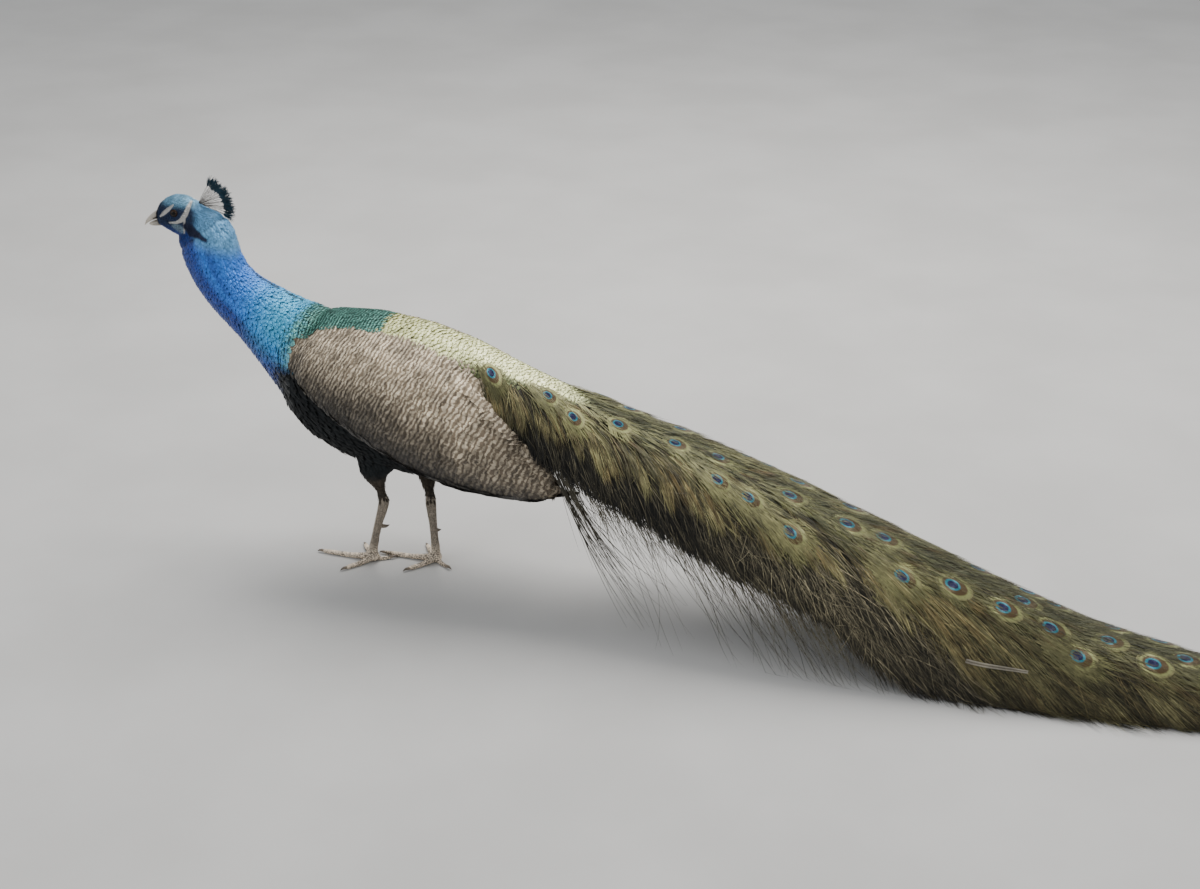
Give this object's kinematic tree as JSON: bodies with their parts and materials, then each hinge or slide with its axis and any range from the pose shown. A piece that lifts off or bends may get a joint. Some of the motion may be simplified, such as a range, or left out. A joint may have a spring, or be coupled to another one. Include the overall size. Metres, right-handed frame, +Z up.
{
  "type": "peacock",
  "caption": "Life-size standing Indian peafowl cock with its crest raised, wings folded and long eyed train laid out behind it on the floor.",
  "frame": {"origin": "bottom centre of the bounding box, on the floor the bird stands on", "axes": "+X from the bill along the body to the end of the train, +Y to the bird's right side, +Z up"},
  "size_m": [1.8786, 0.2408, 0.5987],
  "materials": {
    "blue_feathers": "glossy blue feathers",
    "dark_feathers": "dark blue-green and black feathers",
    "barred_feathers": "buff feathers with fine dark wavy bars",
    "train_feathers": "bronze-green feathers with ringed eye spots",
    "tail_feathers": "dull brown stiff feathers",
    "leg_scales": "dull horny scales",
    "horn": "smooth dull horn",
    "eye": "wet gloss"
  },
  "bodies": {
    "root": {"claw_hind_left": "horn", "claw_hind_right": "horn", "claw_inner_left": "horn", "claw_inner_right": "horn", "claw_middle_left": "horn", "claw_middle_right": "horn", "claw_outer_left": "horn", "claw_outer_right": "horn", "crest": "blue_feathers", "eye_left": "eye", "eye_right": "eye", "flight_feathers_left": "barred_feathers", "flight_feathers_right": "barred_feathers", "foot_left": "leg_scales", "foot_right": "leg_scales", "head": "blue_feathers", "lower_bill": "horn", "neck_lower": "blue_feathers", "neck_upper": "blue_feathers", "shank_left": "leg_scales", "shank_right": "leg_scales", "spur_left": "horn", "spur_right": "horn", "tail": "tail_feathers", "thigh_left": "dark_feathers", "thigh_right": "dark_feathers", "train_1": "train_feathers", "train_2": "train_feathers", "train_3": "train_feathers", "train_4": "train_feathers", "trunk": "dark_feathers", "upper_bill": "horn", "wing_left": "barred_feathers", "wing_right": "barred_feathers"}
  },
  "joints": []
}
